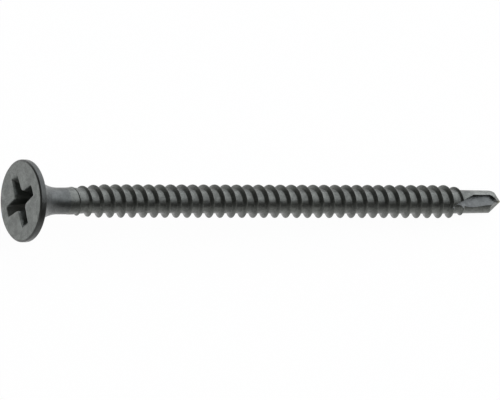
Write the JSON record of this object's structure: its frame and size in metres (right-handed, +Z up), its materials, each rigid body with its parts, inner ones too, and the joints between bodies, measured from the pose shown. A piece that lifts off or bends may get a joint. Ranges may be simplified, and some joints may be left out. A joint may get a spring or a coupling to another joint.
{
  "type": "drywall screw",
  "caption": "Long drywall screw with a bugle head, a cross recess, a right-hand thread along the shank and a self-drilling point.",
  "frame": {"origin": "under the middle of the screw's box, on the surface that it lies on", "axes": "+X from the head to the tip, which dips by 2.8 degrees, and +Z up"},
  "size_m": [0.0572, 0.0084, 0.0084],
  "materials": {
    "phosphate_black": "satin"
  },
  "bodies": {
    "root": {"drywall_screw": "phosphate_black"}
  },
  "joints": []
}
